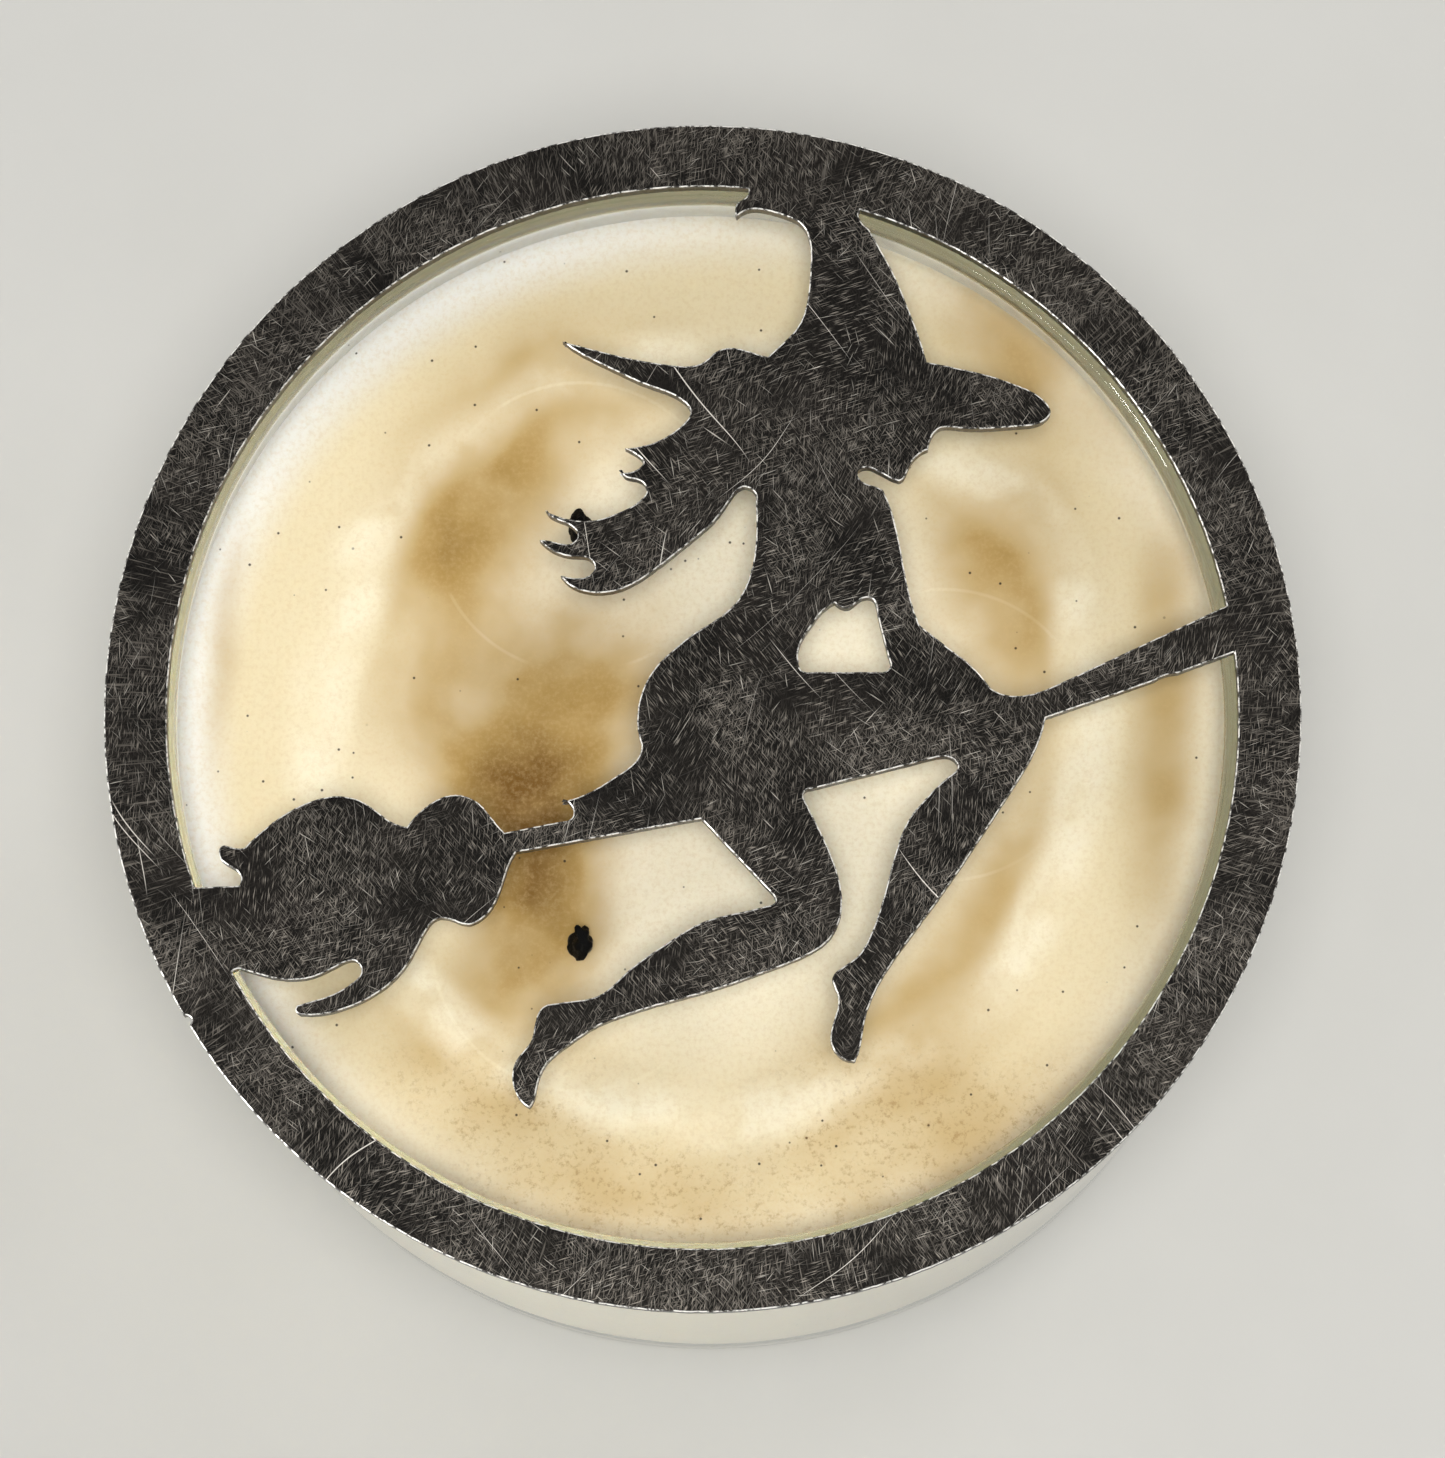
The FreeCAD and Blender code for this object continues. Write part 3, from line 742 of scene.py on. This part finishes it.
def make_sustainers(sheet):
    """Stamped wick tabs: a flat disc with a pressed rib, and a neck crimped on the wick."""
    disc = (sustainer_high.x - sustainer_low.x) / 2
    bore = wick_radius + TAB_FIT
    neck = bore + TAB_NECK_WALL
    base = sustainer_low.z
    face = base + TAB_SHEET
    top = sustainer_high.z
    rib = 0.62 * disc
    corners = [
        (bore, base),
        (rib - 0.8 * MM, base),
        (disc, base),
        (disc, face),
        (rib + 0.9 * MM, face),
        (rib, face + TAB_SHEET),
        (rib - 0.9 * MM, face),
        (neck, face),
        (neck, top),
        (bore, top),
        (bore, base),
    ]
    radii = {
        2: 0.15 * MM,
        3: 0.15 * MM,
        4: 0.4 * MM,
        5: 0.5 * MM,
        6: 0.4 * MM,
        7: 0.9 * MM,
        8: 0.15 * MM,
    }
    profile = densified(rounded(corners, radii), 1.0 * MM)
    for number, middle in wick_places.items():

        def warp(x, y, z, middle=middle):
            reach = math.hypot(x, y)
            if base + 2 * MM < z < top - 1 * MM and reach > bore + 0.1 * MM:
                pinch = 0.5 + 0.5 * math.cos(4 * math.atan2(y, x))
                scale = 1 - 0.07 * pinch
                x *= scale
                y *= scale
            return Vector((x, y, z)) + middle

        tab = lathe(f"wick_tab_{number}", profile, 96, warp)
        dress(tab, "jar", f"wick_sustainer_{number}", "sustainer_steel", sheet)


def make_dots(glue):
    """Glue dots squeezed flat between the tabs and the glass."""
    disc = (dot_high.x - dot_low.x) / 2
    corners = [(0, dot_low.z), (disc, dot_low.z), (disc, dot_high.z), (0, dot_high.z)]
    profile = densified(rounded(corners, {1: 0.3 * MM, 2: 0.3 * MM}), 1.0 * MM)
    for number, middle in wick_places.items():

        def warp(x, y, z, middle=middle, number=number):
            bulge = 1 - 0.03 * (1 + noise.noise(Vector((x, y, number)) / (3 * MM)))
            return Vector((x * bulge, y * bulge, z)) + middle

        dot = lathe(f"glue_dot_{number}", profile, 72, warp)
        dress(dot, "jar", f"adhesive_dot_{number}", "adhesive", glue)


def outline_loops():
    """Outlines of the plate's top face, as closed loops with the metal on their left."""
    data = frame["nodes"]["silhouette_plate"].data
    top = plate_high.z - 0.01 * MM

    def key(place):
        return (round(place.x * 1e7), round(place.y * 1e7))

    following = {}
    places = {}
    for face in data.polygons:
        corners = [data.vertices[index].co for index in face.vertices]
        if min(corner.z for corner in corners) < top:
            continue
        for start, end in zip(corners, corners[1:] + corners[:1]):
            places[key(start)] = start.xy
            following.setdefault(key(start), []).append(key(end))
    outer = {}
    for start, ends in following.items():
        for end in ends:
            if start not in following.get(end, []):
                outer.setdefault(start, []).append(end)
    loops = []
    while outer:
        start = next(iter(outer))
        loop = [start]
        while True:
            ends = outer[loop[-1]]
            after = ends.pop()
            if not ends:
                del outer[loop[-1]]
            if after == start:
                break
            loop.append(after)
        loops.append([places[item].copy() for item in loop])
    return loops


def roughened(loop):
    """The loop with a point about every OUTLINE_STEP, moved by the fine unevenness of the cut."""
    points = []
    for before, after in zip(loop, loop[1:] + loop[:1]):
        parts = max(1, round((after - before).length / OUTLINE_STEP))
        points += [before.lerp(after, part / parts) for part in range(parts)]
    result = []
    for point, inward in zip(points, inward_ways(points)):
        fine = noise.noise(Vector((point.x, point.y, 0)) / (0.35 * MM))
        coarse = noise.noise(Vector((point.x, point.y, 1)) / (2.4 * MM))
        result.append(point + inward * (CUT_INSET + CUT_FINE * fine + CUT_COARSE * coarse))
    return result


def inward_ways(points):
    """For each point of a loop, the step that moves it into the metal by one length unit."""
    ways = []
    count = len(points)
    for index, here in enumerate(points):
        before = (here - points[index - 1]).normalized()
        after = (points[(index + 1) % count] - here).normalized()
        side = Vector((-before.y - after.y, before.x + after.x))
        if side.length < 1e-6:
            side = Vector((-after.y, after.x))
        side.normalize()
        spread = max(0.55, side.dot(Vector((-after.y, after.x))))
        ways.append(side / spread)
    return ways


def inside(points, loops):
    """For each point, whether it is inside an odd number of the closed loops."""
    x, y = np.array(points).T[:, :, None]
    crossings = np.zeros(len(points), int)
    for loop in loops:
        start_x, start_y = np.array(loop).T
        end_x, end_y = np.roll(start_x, -1), np.roll(start_y, -1)
        rise = np.where(end_y == start_y, 1.0, end_y - start_y)
        cut = start_x + (y - start_y) * (end_x - start_x) / rise
        crossings += (((start_y > y) != (end_y > y)) & (x < cut)).sum(axis=1)
    return crossings % 2 == 1


def make_topper():
    """Laser-cut ring and figure, with broken edges and a slightly uneven cut."""
    top = plate_high.z
    bottom = plate_low.z
    burr, side = 1, 2
    levels = [
        (1.0, top, burr),
        (0.3, top - 0.3 * CUT_BREAK, burr),
        (0.0, top - CUT_BREAK, side),
        (0.0, bottom + CUT_BREAK, burr),
        (1.0, bottom, None),
    ]
    mesh = bmesh.new()
    flat_points = []
    flat_edges = []
    flat_loops = []
    for loop in outline_loops():
        points = roughened(loop)
        ways = inward_ways(points)
        count = len(points)
        rings = []
        for inset, height, _ in levels:
            ring = []
            for point, way in zip(points, ways):
                moved = point + way * inset * CUT_BREAK
                ring.append(mesh.verts.new((moved.x, moved.y, height)))
            rings.append(ring)
        for upper, lower, (_, _, kind) in zip(rings, rings[1:], levels):
            for index in range(count):
                after = (index + 1) % count
                face = mesh.faces.new((upper[index], lower[index], lower[after], upper[after]))
                face.material_index = kind
                face.smooth = True
        start = len(flat_points)
        flat_loops.append([vert.co.xy for vert in rings[0]])
        flat_points += flat_loops[-1]
        flat_edges += [(start + index, start + (index + 1) % count) for index in range(count)]
    places, _, triangles, _, _, _ = delaunay_2d_cdt(flat_points, flat_edges, [], 1, 1e-9)
    middles = [
        sum((places[index] for index in triangle), Vector((0, 0))) / 3 for triangle in triangles
    ]
    triangles = [found for found, kept in zip(triangles, inside(middles, flat_loops)) if kept]
    for height, order in ((top, 1), (bottom, -1)):
        cap = [mesh.verts.new((place.x, place.y, height)) for place in places]
        for triangle in triangles:
            mesh.faces.new([cap[index] for index in triangle][::order])
    bmesh.ops.remove_doubles(mesh, verts=mesh.verts, dist=0.0005 * MM)
    for edge in mesh.edges:
        edge.smooth = len({face.material_index for face in edge.link_faces}) < 2
    topper = add_object("topper_plate", mesh, smooth=False)
    materials = scratched_steel(), burr_with_painted_glints(), cut_steel()
    dress(topper, "topper", "silhouette_plate", "scratched_steel", *materials)


# ---------------------------------------------------------------- stage


def make_floor():
    """Wide pale disc that the jar stands on."""
    mesh = bmesh.new()
    bmesh.ops.create_circle(mesh, cap_ends=True, segments=96, radius=3.0)
    floor = add_object("floor", mesh)
    floor.data.materials.append(pale_floor())
    return floor


def add_area_light(name, place, width, height, watts, colour):
    """A soft light of that size that faces the topper, with its width kept level."""
    light = bpy.data.lights.new(name, "AREA")
    light.shape = "DISK" if width == height else "RECTANGLE"
    light.size = width
    if width != height:
        light.size_y = height
    light.energy = watts
    light.color = colour
    lamp = bpy.data.objects.new(name, light)
    lamp.location = place
    lamp.rotation_mode = "QUATERNION"
    lamp.rotation_quaternion = (plate_centre - Vector(place)).to_track_quat("-Z", "Y")
    bpy.context.scene.collection.objects.link(lamp)
    return lamp


def make_light(floor):
    """Soft studio light: a pale room, a disc overhead, a weak key and a low window.

    The window is there for the highlights on the glass rim.  It is so low that it would burn out
    the floor near it, so it lights everything else.
    """
    world = bpy.data.worlds.new("studio")
    world.use_nodes = True
    background = world.node_tree.nodes["Background"]
    background.inputs["Color"].default_value = (0.97, 0.98, 1.0, 1.0)
    background.inputs["Strength"].default_value = 0.36
    bpy.context.scene.world = world
    add_area_light("overhead", (0.02, -0.25, 1.9), 0.48, 0.48, watts=23.5, colour=(1.0, 0.995, 0.98))
    add_area_light("key", (0.9, 1.0, 1.3), 0.7, 0.7, watts=4.5, colour=(1.0, 0.98, 0.95))
    window = add_area_light(
        "window", (-0.93, -0.72, 0.17), 0.7, 0.26, watts=16.0, colour=(1.0, 1.0, 1.0)
    )
    lit = bpy.data.collections.new("lit_by_window")
    for piece in bpy.context.scene.objects:
        if piece.type == "MESH" and piece != floor:
            lit.objects.link(piece)
    window.light_linking.receiver_collection = lit


def make_camera():
    """Long lens almost straight above the topper, leaning a little towards -Y, with +Y up."""
    aim = Vector((plate_centre.x, plate_centre.y, plate_high.z)) + AIM_SHIFT
    azimuth = math.radians(CAMERA_AZIMUTH)
    elevation = math.radians(CAMERA_ELEVATION)
    back = Vector((
        math.sin(azimuth) * math.cos(elevation),
        -math.cos(azimuth) * math.cos(elevation),
        math.sin(elevation),
    ))
    right = Vector((0, 1, 0)).cross(back).normalized()
    upward = back.cross(right)
    camera = bpy.data.cameras.new("camera")
    camera.lens = CAMERA_LENS
    camera.sensor_width = 36.0
    camera.clip_start = 0.01
    camera.clip_end = 20.0
    holder = bpy.data.objects.new("camera", camera)
    turn = Matrix((right, upward, back)).transposed().to_4x4()
    holder.matrix_world = Matrix.Translation(aim + back * CAMERA_DISTANCE) @ turn
    bpy.context.scene.collection.objects.link(holder)
    bpy.context.scene.camera = holder


make_jar()
make_wax()
make_wicks(wick_cotton())
make_sustainers(tinned_steel())
make_dots(adhesive())
make_topper()
make_light(make_floor())
make_camera()
bpy.context.scene.view_settings.view_transform = "Standard"
